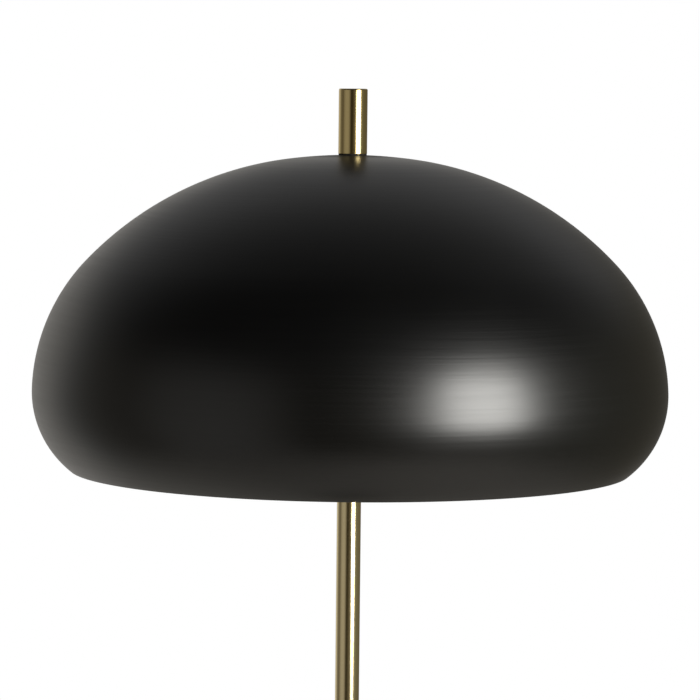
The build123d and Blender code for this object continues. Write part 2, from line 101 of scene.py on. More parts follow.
class LAMP_PG_shade(PropertyGroup):
    """Outline of the dome: four tangent arcs, with a rolled hem at the rim."""
    radius: length("Radius", "Widest radius of the dome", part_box("shade")[1].x)
    wall: length("Wall", "Thickness of the sheet", 0.001)
    crown_radius: length("Crown radius", "Radius of the arc at the top", 0.316)
    crown_end: angle("Crown end", "Angle of the outward normal where the crown ends", 7.7)
    flank_radius: length("Flank radius", "Radius of the long arc under the crown", 0.224)
    flank_end: angle("Flank end", "Angle of the outward normal where the flank ends", 46.4)
    shoulder_end: angle("Shoulder end", "Angle of the outward normal where the shoulder ends", 87.8)
    lip_radius: length("Lip radius", "Radius of the arc that turns in under the dome", 0.0655)
    lip_end: angle("Lip end", "Angle of the outward normal at the rim", 141.7)
    hem_radius: length("Hem radius", "Radius of the roll on the inside of the rim", 0.0016)
    land_radius: length("Land radius", "Radius of the flat under the finial", 0.010)
    hole_radius: length("Hole radius", "Radius of the hole for the rod", 0.0053)


class LAMP_PG_metalwork(PropertyGroup):
    """Stem, finial, cluster and base."""
    tube_wall: length("Tube wall", "Wall of the stem", 0.0015)
    tube_chamfer: length("Tube chamfer", "Broken edge at the ends of each tube", 0.00025)
    finial_edge: length("Finial edge", "Rounding of the finial's top", 0.001)
    finial_foot_edge: length("Finial foot edge", "Rounding of the finial at the washer", 0.0003)
    thread_pitch: length("Thread pitch", "Pitch of the lamp thread", 0.001)
    thread_depth: length("Thread depth", "Depth of the lamp thread", 0.0005)
    bore_radius: length("Tapped bore", "Radius of a tapped bore", 0.00505)
    hole_radius: length("Plain bore", "Radius of a plain bore", 0.0053)
    finial_bore: length("Finial bore", "Depth of the bore in the finial", 0.017)
    collar_edge: length("Collar edge", "Rounding of the foot collar", 0.0015)
    collar_floor: length("Collar floor", "Floor of the foot collar", 0.003)
    collar_socket: length("Collar socket", "Radius of the hole the stem stands in", 0.00805)
    lid_edge: length("Lid edge", "Rounding of the lid of the cluster", 0.0015)
    lid_spigot: length("Lid spigot", "Height of the spigot under the lid", 0.003)
    cluster_wall: length("Cluster wall", "Wall of the cup", 0.003)
    slip_gap: length("Slip gap", "Clearance of a part that slips into another", 0.00005)
    cover_wall: length("Cover wall", "Thickness of the pressed cover", 0.0012)
    cover_edge: length("Cover edge", "Rounding of the pressed cover", 0.006)
    inlet_height: length("Inlet height", "Axis of the cord inlet above the floor", 0.008)
    inlet_bore: length("Inlet bore", "Radius of the bore for the cord", 0.0033)
    grommet_radius: length("Grommet radius", "Radius of the grommet in the skirt", 0.0045)
    grommet_flange: length("Grommet flange", "Radius of the grommet's flanges", 0.006)
    flange_thickness: length("Flange thickness", "Thickness of the grommet's flanges", 0.0016)


class LAMP_PG_holder(PropertyGroup):
    """Lampholders and their knobs. Lengths run outwards from the face of the boss."""
    tilt: angle("Tilt", "Holder axes below the horizontal", 30.0)
    stand_off: length("Stand-off", "Least gap between holder and cup", 0.0015)
    radius: length("Radius", "Radius of the cap", 0.0195)
    sheet: length("Sheet", "Thickness of the brass sheet", 0.0008)
    gap: length("Gap", "Gap between nested parts", 0.0001)
    neck_radius: length("Neck radius", "Radius of the neck of the cap", 0.008)
    neck_length: length("Neck length", "Length of the neck of the cap", 0.005)
    cap_length: length("Cap length", "Length of the cap", 0.022)
    shell_end: length("Shell end", "Mouth of the outer sleeve", 0.064)
    switch_end: length("Switch end", "Front of the moulded body", 0.034)
    screw_end: length("Screw shell end", "Mouth of the screw shell", 0.061)
    screw_wall: length("Screw shell wall", "Thickness of the screw shell", 0.0004)
    knob_position: length("Knob position", "Knob axis along the holder", 0.027)
    knob_gap: length("Knob gap", "Gap between sleeve and knob", 0.0025)
    knob_radius: length("Knob radius", "Radius over the flutes", 0.0065)
    knob_length: length("Knob length", "Length of the knob", 0.014)
    knob_hole: length("Knob hole", "Depth of the hole for the shaft", 0.010)
    shaft_radius: length("Shaft radius", "Radius of the switch shaft", 0.0019)
    flutes: IntProperty(name="Flutes", description="Flutes round the knob", default=10, min=3)
    flute_radius: length("Flute radius", "Radius of one flute", 0.0011)
    shell_start: length("Shell start", "Inner end of the outer sleeve", 0.0165)
    window_radius: length("Window radius", "Radius of the hole for the switch shaft", 0.003)
    bead_height: length("Bead height", "Height of the rolled beads of the outer sleeve", 0.0006)
    bead_width: length("Bead width", "Half the width of a rolled bead", 0.0014)


class LAMP_PG_bulb(PropertyGroup):
    """Bulbs with a 27 mm screw cap. Lengths run outwards from the face of the boss."""
    cap_radius: length("Cap radius", "Radius over the thread", 0.013)
    cap_wall: length("Cap wall", "Thickness of the cap", 0.0004)
    cap_start: length("Cap start", "Inner end of the cap", 0.039)
    cap_length: length("Cap length", "Length of the cap", 0.024)
    pitch: length("Pitch", "Pitch of the rolled thread", 0.00363)
    depth: length("Depth", "Depth of the rolled thread", 0.0009)
    neck_radius: length("Neck radius", "Radius of the glass neck", 0.0125)
    neck_length: length("Neck length", "Straight neck outside the cap", 0.004)
    neck_inside: length("Neck inside", "Neck cemented in the cap", 0.006)
    globe_radius: length("Globe radius", "Radius of the glass globe", 0.030)
    globe_centre: length("Globe centre", "Centre of the globe along the holder", 0.1157)
    glass: length("Glass", "Thickness of the glass", 0.001)
    tip_radius: length("Tip radius", "Radius of the hole for the contact", 0.0042)


class LAMP_PG_finish(PropertyGroup):
    """Colours and surface finishes."""
    enamel: colour("Black enamel", "Powder coat on shade and base", (0.0008, 0.0008, 0.0008))
    white: colour("White enamel", "Inside of the shade", (0.80, 0.79, 0.76))
    enamel_roughness: share("Enamel roughness", "Satin of the black enamel", 0.33)
    brass: colour("Brass", "Finial, neck and cluster, above the shade's rim", (0.72, 0.57, 0.27))
    # Painted reflection: the brass below the shade's rim is painted lighter than the brass above it.
    painted_bright_brass: colour("Tube brass", "Stem and foot collar, below the rim", (0.92, 0.77, 0.45))
    brass_roughness: share("Brass roughness", "Satin of all turned and drawn brass", 0.19)
    stamped_brass: colour("Stamped brass", "Lampholders", (0.78, 0.62, 0.32))
    steel: colour("Zinc plating", "Nuts, nipples and rod", (0.62, 0.63, 0.64))
    aluminium: colour("Aluminium", "Caps of the bulbs", (0.80, 0.80, 0.80))
    iron: colour("Iron", "Primed casting in the base", (0.10, 0.10, 0.10))
    rubber: colour("Rubber", "Pad under the base", (0.03, 0.03, 0.03))
    fibre: colour("Fibre", "Washers on the shade", (0.022, 0.019, 0.016))
    moulding: colour("Moulding", "Knobs, switches and grommet", (0.018, 0.018, 0.018))
    board: colour("Board", "Liners of the lampholders", (0.55, 0.45, 0.32))
    insulation: colour("Insulation", "Leads", (0.62, 0.60, 0.55))
    nylon: colour("Nylon", "Wire connectors", (0.75, 0.73, 0.66))
    opal: colour("Opal glass", "Bulbs", (0.93, 0.93, 0.90))
    floor: colour("Floor", "Studio floor", (0.80, 0.80, 0.79))


class LAMP_PG_studio(PropertyGroup):
    """Camera and lights."""
    camera_distance: length("Camera distance", "Camera in front of the stem's axis", 2.25)
    camera_height: length("Camera height", "Camera above the floor", 1.4982)
    camera_lens: FloatProperty(name="Lens", default=175.41, unit="CAMERA",
                               description="Focal length in millimetres on a 36 mm sensor")
    camera_drop: angle("Camera drop", "Camera below the horizontal", 4.337)
    camera_turn: FloatProperty(name="Camera turn", description="Camera turned to the left",
                               default=0.00017, subtype="ANGLE", precision=5)
    camera_roll: FloatProperty(name="Camera roll", description="Camera rolled about its own axis",
                               default=0.0105, subtype="ANGLE", precision=5)
    light_distance: length("Light distance", "Key softbox from the stem's axis", 2.0)
    key_azimuth: angle("Key azimuth", "Key softbox to the right of the camera", 45.3)
    key_height: length("Key height", "Middle of the key softbox above the floor", 1.43)
    key_wide: length("Key width", "Width of the key softbox", 1.30)
    key_tall: length("Key tallness", "Height of the key softbox", 1.48)
    key_radiance: brightness("Key radiance", "Brightness of the key softbox's edges", 3.4)
    core_wide: length("Core width", "Width of the bright middle of the key softbox", 0.90)
    core_tall: length("Core tallness", "Height of the bright middle of the key softbox", 1.04)
    core_radiance: brightness("Core radiance", "What the middle adds to the edges", 10.5)
    light_tone: colour("Light tone", "Colour of the softboxes", (1.0, 0.99, 0.95))
    top_radiance: brightness("Top radiance", "Brightness of the overhead softbox's face", 2.6)
    floor_radius: length("Floor radius", "Radius of the studio floor", 2.6)


GROUPS = {"lamp_shade": LAMP_PG_shade, "lamp_metalwork": LAMP_PG_metalwork,
          "lamp_holder": LAMP_PG_holder, "lamp_bulb": LAMP_PG_bulb, "lamp_finish": LAMP_PG_finish,
          "lamp_studio": LAMP_PG_studio}


# ---------------------------------------------------------------- outlines, as points (r, z)
def circle_part(centre, radius, start, end, steps):
    """Points centre + radius (sin a, cos a), with a measured from straight up, from start to end."""
    a = np.linspace(start, end, steps + 1)
    return np.column_stack((centre[0] + radius * np.sin(a), centre[1] + radius * np.cos(a)))


def upright(radius, heights):
    """Straight wall of an outline: the points (radius, z) for all heights z."""
    return np.column_stack((np.full(len(heights), radius), heights))


def hole_rows(height, pitch):
    """Heights of the rows that a wall needs round a hole at one height, as far apart as pitch: the one
    through its middle, and on both sides those of its cells and one more."""
    reach = HOLE_CELLS // 2 + 1
    return height + pitch * np.arange(-reach, reach + 1)


def rounded(corners, steps=6):
    """Outline through corners (r, z, rounding). Each rounding R is the arc tangent to both sides of its
    corner: it starts R / tan(half the angle between them) from it. A guard point close to each end of
    the arc keeps the flat beside it flat in the shading."""
    guard_of_rounding, guard_of_flat = 0.6, 0.3
    corners = np.array([(*c, 0.0)[:3] for c in corners], float)
    points, sizes = corners[:, :2], corners[:, 2]
    made = []
    for i, (corner, size) in enumerate(zip(points, sizes)):
        if size < TINY:
            made.append(corner[None])
            continue
        before, after = points[i - 1] - corner, points[(i + 1) % len(points)] - corner
        room = min(np.linalg.norm(before), np.linalg.norm(after))
        before, after = before / np.linalg.norm(before), after / np.linalg.norm(after)
        half = math.acos(np.clip(before @ after, -1, 1)) / 2
        reach = size / math.tan(half)
        centre = corner + (before + after) / np.linalg.norm(before + after) * size / math.sin(half)
        first, last = corner + before * reach, corner + after * reach
        share_of = np.linspace(0, 1, steps + 1)[:, None]
        sweep = math.pi - 2 * half
        arc = centre + (np.sin((1 - share_of) * sweep) * (first - centre)
                        + np.sin(share_of * sweep) * (last - centre)) / math.sin(sweep)
        guard = min(size * guard_of_rounding, max(room - reach, 0) * guard_of_flat)
        made += [(first + before * guard)[None], arc, (last + after * guard)[None]]
    return np.concatenate(made)


def shade_outline(size, top):
    """Outer skin from the hole to the rim, hem, and inner skin back to the hole, with the length of the
    outline up to the end of the hem. Each arc's centre lies on the normal where it meets the arc before:
    c' = c + (R - R') (sin a, cos a). The shoulder's radius makes the dome its full width."""
    outer_steps, inner_steps, hem_steps = (10, 40, 40, 34), (6, 22, 22, 18), 16
    ends = [size.crown_end, size.flank_end, size.shoulder_end, size.lip_end]
    sines = np.sin(ends)
    reach = size.crown_radius * sines[0] + size.flank_radius * (sines[1] - sines[0])
    shoulder = (size.radius - reach - size.lip_radius * (1 - sines[2])) / (sines[2] - sines[1])
    radii = [size.crown_radius, size.flank_radius, shoulder, size.lip_radius]
    rise = math.sqrt(size.crown_radius ** 2 - size.land_radius ** 2)
    centres = [np.array([0.0, top - rise])]
    for radius, following, end in zip(radii, radii[1:], ends):
        centres.append(centres[-1] + (radius - following) * np.array([math.sin(end), math.cos(end)]))

    def skin(inset, last, steps):
        start = math.acos((rise - inset) / (size.crown_radius - inset))
        parts = []
        for centre, radius, end, count in zip(centres, radii, ends[:3] + [last], steps):
            parts.append(circle_part(centre, radius - inset, start, end, count))
            start = end
        return np.concatenate([parts[0]] + [part[1:] for part in parts[1:]])

    hem_reach, inner_radius = size.lip_radius - size.hem_radius, size.lip_radius - size.wall
    cosine = ((hem_reach ** 2 + inner_radius ** 2 - size.hem_radius ** 2)
              / (2 * hem_reach * inner_radius))
    inner_end = size.lip_end - math.acos(cosine)
    outer = skin(0.0, size.lip_end, outer_steps)
    inner = skin(size.wall, inner_end, inner_steps)
    hem_centre = centres[-1] + hem_reach * np.array([math.sin(size.lip_end), math.cos(size.lip_end)])
    last = inner[-1] - hem_centre
    hem_end = math.atan2(last[0], last[1]) % (2 * math.pi)
    hem = circle_part(hem_centre, size.hem_radius, size.lip_end, hem_end, hem_steps)
    outside = np.concatenate([[(size.hole_radius, top)], outer, hem[1:-1]])
    outline = np.concatenate([outside, inner[::-1], [(size.hole_radius, top - size.wall)]])
    steps = np.linalg.norm(np.diff(outline[:len(outside) + 1], axis=0), axis=1)
    return outline, steps.sum()


def glass_outline(size, inset, steps):
    """Straight neck, hollow flare and globe of a bulb, as one smooth line from the neck's root to the
    tip. The flare of radius F is tangent to the neck, of radius n, and the globe, of radius R:
    F = (rise^2 + n^2 - R^2) / (2 (R - n)). steps is the number of points along the flare."""
    neck_end = size.cap_start + size.cap_length + size.neck_length
    rise = size.globe_centre - neck_end
    neck, globe = size.neck_radius, size.globe_radius
    flare = (rise ** 2 + neck ** 2 - globe ** 2) / (2 * (globe - neck))
    meeting = math.atan2(neck + flare, rise)
    root = (neck - inset, neck_end - size.neck_length - size.neck_inside)
    hollow = circle_part((neck + flare, neck_end), flare + inset, 1.5 * math.pi,
                         2 * math.pi - meeting, steps)
    ball = circle_part((0.0, size.globe_centre), globe - inset, math.pi - meeting, 0.0, steps * 3)
    return np.concatenate([[root], hollow, ball[1:]])


# ---------------------------------------------------------------- surfaces
def turned(outline, around=96, place=None, relief=None, hole=None):
    """Surface of revolution as (points, faces, uv). Row i of the outline and column j give the point
    place (r cos a, r sin a, z), with a = 2 pi j / around and r = r_i + relief(a_j, r_i, z_i). An outline
    from axis to axis closes in poles, and any other closes on itself. u and v are lengths round the
    widest turn and along the outline. hole is the column, height and radius of a round hole through
    both skins, which have hole_rows at its height: the cells at its middle are taken out, the grid
    points round them are moved to the circle, p' = p radius / |p|, and a wall joins the skins."""
    outline = np.asarray(outline, float)
    following = np.roll(outline, -1, axis=0)
    spans = np.linalg.norm(following - outline, axis=1)
    along = np.cumsum(spans) - spans
    closing = along[-1] + spans[-1]
    if np.sum(outline[:, 0] * following[:, 1] - following[:, 0] * outline[:, 1]) < 0:
        outline, along, closing = outline[::-1], along[::-1], -spans[-1]
    r, z = outline[:, :1], outline[:, 1:]
    poles = r[0, 0] < TINY and r[-1, 0] < TINY
    a = np.arange(around)[None] * (2 * math.pi / around)
    radius = r + (relief(a, r, z) if relief else 0.0) + 0 * a
    points = np.stack((radius * np.cos(a), radius * np.sin(a), z + 0 * a), axis=-1)
    rows = len(outline)
    number = np.arange(rows * around).reshape(rows, around)
    if not poles:
        number = np.concatenate([number, number[:1]])
        along = np.append(along, closing)
    low, high, right = number[:-1], number[1:], np.roll(number, -1, axis=1)
    quads = np.stack((low, right[:-1], right[1:], high), axis=-1)
    turn = np.arange(around + 1) * (2 * math.pi / around) * outline[:, 0].max()
    u = np.stack((turn[:-1], turn[1:], turn[1:], turn[:-1]), axis=-1) + np.zeros((len(low), 1, 1))
    v = np.stack((along[:-1], along[:-1], along[1:], along[1:]), axis=-1)[:, None, :] + 0 * u
    uv = np.stack((u, v), axis=-1)
    bore = np.empty((0, 4), int)
    kept = np.ones(quads.shape[:2], bool)
    if hole:
        column, height, hole_radius = hole
        reach, border_points = HOLE_CELLS // 2, 4 * HOLE_CELLS
        step = np.arange(border_points)
        sideways, upwards = (
            np.clip(np.abs(k % border_points - 2 * HOLE_CELLS) - HOLE_CELLS, -reach, reach)
            for k in (step, step + 3 * HOLE_CELLS))
        columns, cells = (column + sideways) % around, np.arange(-reach, reach)
        out = np.array([math.cos(a[0, column]), math.sin(a[0, column]), 0.0])
        side = np.array([-out[1], out[0], 0.0])
        loops = []
        middles = np.flatnonzero(np.abs(z[:, 0] - height) < TINY)
        for middle, way in zip(sorted(middles, key=lambda i: -r[i, 0]), (1, -1)):
            border = (middle + way * upwards, columns)
            offset = np.column_stack((points[border] @ side, points[border][:, 2] - height))
            offset *= hole_radius / np.linalg.norm(offset, axis=1, keepdims=True)
            depth = np.sqrt(r[middle, 0] ** 2 - offset[:, :1] ** 2)
            points[border] = (depth * out + offset[:, :1] * side
                              + (offset[:, 1:] + height) * (0.0, 0.0, 1.0))
            kept[np.ix_(middle + cells, (column + cells) % around)] = False
            loops.append(number[border])
        outer, inner = loops
        bore = np.stack((outer, np.roll(outer, -1), np.roll(inner, -1), inner), axis=-1)
    points = points.reshape(-1, 3)
    if poles:
        points[:around] = points[0]
        points[-around:] = points[-1]
        faces = (quads[1:-1].reshape(-1, 4).tolist()
                 + [[0, f[2], f[3]] for f in quads[0].tolist()]
                 + [[f[0], f[1], rows * around - 1] for f in quads[-1].tolist()])
        uv = np.concatenate((uv[1:-1].reshape(-1, 2), uv[0][:, (0, 2, 3)].reshape(-1, 2),
                             uv[-1][:, (0, 1, 2)].reshape(-1, 2)))
        keep = np.concatenate([[0], np.arange(around, (rows - 1) * around), [rows * around - 1]])
        fresh = np.zeros(rows * around, int)
        fresh[keep] = np.arange(len(keep))
        points = points[keep]
        faces = [[int(fresh[k]) for k in face] for face in faces]
    else:
        faces = quads[kept].tolist() + bore.tolist()
        uv = np.concatenate((uv[kept].reshape(-1, 2), np.zeros((bore.size, 2))))
    if place is not None:
        points = points @ place[:3, :3].T + place[:3, 3]
    return points, faces, uv


def screw_relief(pitch, depth, start, end, above):
    """Thread: radii over above change by -depth (1 - cos(2 pi z / pitch - a)) / 2, fading in and out
    over one pitch at its start and end. It swells out of the wall where depth is below zero."""
    def relief(a, r, z):
        fade = np.clip((z - start) / pitch, 0, 1) * np.clip((end - z) / pitch, 0, 1)
        return -depth / 2 * (1 - np.cos(2 * math.pi * z / pitch - a)) * fade * (r > above)
    return relief


def place_frame(origin, x_axis, z_axis):
    """4 x 4 matrix of a frame from its origin and its X and Z axes."""
    x_axis, z_axis = np.array(x_axis, float), np.array(z_axis, float)
    made = np.eye(4)
    made[:3] = np.column_stack((x_axis, np.cross(z_axis, x_axis), z_axis, origin))
    return made


def holder_frame(side):
    """Frame of a lampholder: Z runs out along it from the face of its boss, X points to the front."""
    size = bpy.context.scene.lamp_holder
    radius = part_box("cluster_lid")[1].x
    sine, cosine = math.sin(size.tilt), math.cos(size.tilt)
    reach = (radius + size.stand_off + size.neck_radius * sine) / cosine
    out = np.array([side * cosine, 0.0, -sine])
    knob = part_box("switch_knob_right")
    middle = np.array([(knob[0].x + knob[1].x) / 2, 0.0, (knob[0].z + knob[1].z) / 2])
    cross = middle - np.array([cosine, 0.0, -sine]) * (reach + size.knob_position)
    return place_frame(np.array([0.0, 0.0, cross[2]]) + out * reach, (0, -1, 0), out)


def add_piece(name, surface, node, sharp=38.0):
    """One object of a closed surface. It stands for the CAD node, rides on its body and takes the finish
    of its slot. Edges that turn by more than sharp degrees stay sharp."""
    points, faces, uv = surface
    mesh = bpy.data.meshes.new(name)
    mesh.from_pydata(points.tolist(), [], faces)
    layer = mesh.uv_layers.new(name="lengths")
    layer.uv.foreach_set("vector", uv.astype(np.float32).ravel())
    mesh.shade_smooth()
    mesh.set_sharp_from_angle(angle=math.radians(sharp))
    mesh.materials.append(finish(SLOT_OF[node]))
    piece = bpy.data.objects.new(name, mesh)
    bpy.context.scene.collection.objects.link(piece)
    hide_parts(node)
    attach(piece, BODY_OF[node])


# ---------------------------------------------------------------- shader nodes
class Wire:
    """A node's output that Python can reckon with: each operator adds a Math node."""

    def __init__(self, nodes, socket):
        self.nodes, self.socket = nodes, socket

    def math(self, operation, *values):
        return self.nodes.add("ShaderNodeMath", {"operation": operation}, dict(enumerate(values)))

    def __add__(self, other):
        return self.math("ADD", self, other)

    def __sub__(self, other):
        return self.math("SUBTRACT", self, other)

    def __rsub__(self, other):
        return self.math("SUBTRACT", other, self)

    def __mul__(self, other):
        return self.math("MULTIPLY", self, other)

    def __truediv__(self, other):
        return self.math("DIVIDE", self, other)

    __radd__ = __add__
    __rmul__ = __mul__

    def out(self, name):
        """Another output of the same node."""
        return Wire(self.nodes, self.socket.node.outputs[name])


class Nodes:
    """Adds nodes to one node tree."""

    def __init__(self, tree):
        self.tree = tree
        tree.nodes.clear()

    def add(self, kind, settings=None, inputs=None, output=0):
        """One node of a type: its settings first, then the values or links of its sockets."""
        node = self.tree.nodes.new(kind)
        for name, value in (settings or {}).items():
            if name == "stops":
                ramp = node.color_ramp.elements
                while len(ramp) < len(value):
                    ramp.new(0.5)
                for element, (position, shade) in zip(ramp, value):
                    element.position, element.color = position, (*shade, 1.0)
            else:
                setattr(node, name, value)
        for name, value in (inputs or {}).items():
            socket = node.inputs[name]
            if isinstance(value, Wire):
                self.tree.links.new(value.socket, socket)
            elif socket.type == "RGBA" and len(value) == 3:
                socket.default_value = (*value, 1.0)
            else:
                socket.default_value = value
        return Wire(self, node.outputs[output] if node.outputs else None)

    def place(self):
        """Place on the object, in metres."""
        return self.add("ShaderNodeTexCoord", output="Object")

    def mix(self, factor, first, second):
        """Colour from first to second."""
        return self.add("ShaderNodeMix", {"data_type": "RGBA"}, {0: factor, 6: first, 7: second},
                        output=2)

    def noise(self, place, scale, detail=2.0, roughness=0.5):
        """Noise from 0 to 1, with its features per metre along x, y and z given by scale."""
        stretched = self.add("ShaderNodeMapping", inputs={"Vector": place, "Scale": scale})
        return self.add("ShaderNodeTexNoise", {"noise_dimensions": "3D"},
                        {"Vector": stretched, "Scale": 1.0, "Detail": detail, "Roughness": roughness})

    def ease(self, value, low, high):
        """0 at low, 1 at high, with a smooth step between."""
        return self.add("ShaderNodeMapRange", {"interpolation_type": "SMOOTHSTEP"},
                        {"Value": value, "From Min": low, "From Max": high})

    def bump(self, height, depth):
        """Normal of a surface raised by height times depth in metres."""
        return self.add("ShaderNodeBump", inputs={"Height": height, "Distance": depth, "Strength": 1.0})

    def surface(self, inputs):
        """Principled surface, linked to the output."""
        made = self.add("ShaderNodeBsdfPrincipled", inputs=inputs)
        self.add("ShaderNodeOutputMaterial", inputs={"Surface": made})


def tone(shade, factor):
    """A colour made darker or lighter."""
    return tuple(min(1.0, channel * factor) for channel in shade)


def plain_finish(nodes, shade, rough, grain, depth, stretch=1.0, metallic=0.0, cloud=12.0, drift=0.12,
                 sockets=None):
    """A colour with a slow drift in tone and gloss, of cloud features per metre, and a fine grain of the
    given features per metre and depth in metres. Its features are flatter by stretch along Z."""
    cloud_gloss, grain_gloss = 0.08, 0.10
    place = nodes.place()
    drifting = nodes.noise(place, (cloud,) * 3)
    grain_height = nodes.noise(place, (grain, grain, grain * stretch), **FINE_GRAIN)
    nodes.surface({
        "Base Color": nodes.mix(drifting, tone(shade, 1 - drift), tone(shade, 1 + drift)),
        "Metallic": metallic,
        "Roughness": rough + (drifting - 0.5) * cloud_gloss + (grain_height - 0.5) * grain_gloss,
        "Normal": nodes.bump(grain_height, depth),
        **(sockets or {}),
    })


def enamel_surface(nodes, inside):
    """Satin powder coat on the spun shade, black outside and white inside. The spinning marks are noise
    over x, y and the length along the outline, drawn out into broken rings, and orange peel lies over
    them. The coat is duller beside the finial. inside is the length along the outline where the white
    takes over."""
    rings_per_metre, breaks_per_metre, peel_per_metre = 560.0, 9.0, 900.0
    relief, peel_share = 0.000045, 0.10
    cloud_gloss, ring_gloss = 0.05, 0.06
    dull_end, gloss_start, dull_by, white_dull_by = 0.006, 0.030, 0.20, 0.16
    look = bpy.context.scene.lamp_finish
    place = nodes.place()
    across = nodes.add("ShaderNodeSeparateXYZ", inputs={"Vector": place})
    along = nodes.add("ShaderNodeSeparateXYZ", inputs={
        "Vector": nodes.add("ShaderNodeUVMap", {"uv_map": "lengths"})}).out("Y")
    ring_place = nodes.add("ShaderNodeCombineXYZ", inputs={
        "X": across.out("X") * breaks_per_metre, "Y": across.out("Y") * breaks_per_metre,
        "Z": along * rings_per_metre})
    rings = nodes.noise(ring_place, (1.0, 1.0, 1.0), **FINE_GRAIN)
    broad = nodes.noise(place, (16.0, 16.0, 16.0))
    peel = nodes.noise(place, (peel_per_metre,) * 3, detail=1.0)
    height = rings + peel * peel_share
    black = nodes.mix(broad, tone(look.enamel, 0.85), tone(look.enamel, 1.15))
    rough = look.enamel_roughness + (broad - 0.5) * cloud_gloss + (rings - 0.5) * ring_gloss
    rough = rough + (1.0 - nodes.ease(along, dull_end, gloss_start)) * dull_by
    white = along.math("GREATER_THAN", along, inside)
    paint = nodes.mix(white, black, nodes.mix(broad, tone(look.white, 0.97), look.white))
    nodes.surface({"Base Color": paint, "Roughness": rough + white * white_dull_by,
                   "Normal": nodes.bump(height, relief), **ENAMEL_SHEEN})


def turned_metal(nodes, shade, painted_bright, rough):
    """Turned and polished metal under lacquer: fine rings round the Z axis and a slow drift in tone.
    Below the shade's rim, on the drawn tubes and the collar, the brass is painted lighter than above it:
    a painted reflection of a brighter studio."""
    rim, neck_foot = 1.26, 1.40
    rings_per_metre, breaks_per_metre, ring_depth = 2400.0, 30.0, 0.0000006
    ring_gloss, drift_gloss = 0.02, 0.03
    place = nodes.place()
    height = nodes.add("ShaderNodeSeparateXYZ", inputs={"Vector": place}).out("Z")
    # Painted reflection: 0 below the shade's rim, where the brass is painted lighter, and 1 above it.
    over = nodes.ease(height, rim, neck_foot)
    rings = nodes.noise(place, (breaks_per_metre, breaks_per_metre, rings_per_metre), 3.0, 0.65)
    drift = nodes.noise(place, (14.0, 14.0, 14.0))
    tones = [nodes.mix(drift, tone(metal, 0.96), tone(metal, 1.04)) for metal in (painted_bright, shade)]
    nodes.surface({
        "Base Color": nodes.mix(over, *tones),
        "Metallic": 1.0,
        "Roughness": rough + (rings - 0.5) * ring_gloss + (drift - 0.5) * drift_gloss,
        "Normal": nodes.bump(rings, ring_depth),
    })


# The plain finishes: each slot's colour, roughness, grain, its depth, and other values of plain_finish.
PLAIN = {
    "bare_brass": ("stamped_brass", 0.24, 260.0, 0.000004, {"metallic": 1.0, "cloud": 60.0}),
    "zinc_steel": ("steel", 0.36, 700.0, 0.000006, {"metallic": 1.0, "cloud": 90.0}),
    "cap_aluminium": ("aluminium", 0.32, 800.0, 0.000003,
                      {"metallic": 1.0, "cloud": 70.0, "drift": 0.05}),
    "raw_iron": ("iron", 0.72, 420.0, 0.00022, {"cloud": 25.0, "drift": 0.25}),
    "black_rubber": ("rubber", 0.82, 900.0, 0.00004, {}),
    "black_fibre": ("fibre", 0.62, 1500.0, 0.00003, {"stretch": 10 / 3}),
    "black_moulding": ("moulding", 0.28, 500.0, 0.000006, {}),
    "liner_board": ("board", 0.86, 600.0, 0.00005, {"stretch": 13 / 3, "cloud": 150.0}),
    "lead_insulation": ("insulation", 0.52, 900.0, 0.00001, {}),
    "connector_nylon": ("nylon", 0.42, 700.0, 0.00001, {}),
    "opal_glass": ("opal", 0.14, 60.0, 0.00001, {"cloud": 40.0, "drift": 0.02,
                                                 "sockets": {"Coat Weight": 0.3}}),
    "black_glass": ("moulding", 0.10, 300.0, 0.000004, {}),
}


def finish(slot):
    """The material of one of the record's slots, made when it is first asked for."""
    made = bpy.data.materials.get(f"{slot}_finish")
    if made:
        return made
    made = bpy.data.materials.new(f"{slot}_finish")
    made.use_nodes = True
    nodes = Nodes(made.node_tree)
    look = bpy.context.scene.lamp_finish
    if slot == "shade_enamel":
        _, inside = shade_outline(bpy.context.scene.lamp_shade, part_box("shade")[1].z)
        enamel_surface(nodes, inside)
    elif slot == "black_enamel":
        pressed_dull_by = 0.06
        plain_finish(nodes, look.enamel, look.enamel_roughness + pressed_dull_by, 900.0, 0.00001,
                     sockets=ENAMEL_SHEEN)
    elif slot in ("brushed_brass", "polished_brass"):
        # Below the shade's rim the brass is painted lighter, a painted reflection.
        turned_metal(nodes, look.brass, look.painted_bright_brass, look.brass_roughness)
    elif slot in PLAIN:
        shade, rough, grain, depth, others = PLAIN[slot]
        plain_finish(nodes, getattr(look, shade), rough, grain, depth, **others)
    else:
        raise RuntimeError(f"no finish is written for the slot {slot}")
    return made


# ---------------------------------------------------------------- operators
class LAMP_OT_shade(Operator):
    """Spun dome shade with its rolled hem"""
    bl_idname = "lamp.shade"
    bl_label = "Shade"

    def execute(self, context):
        outline, _ = shade_outline(context.scene.lamp_shade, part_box("shade")[1].z)
        add_piece("spun_shade", turned(outline, around=300), "shade")
        return {"FINISHED"}


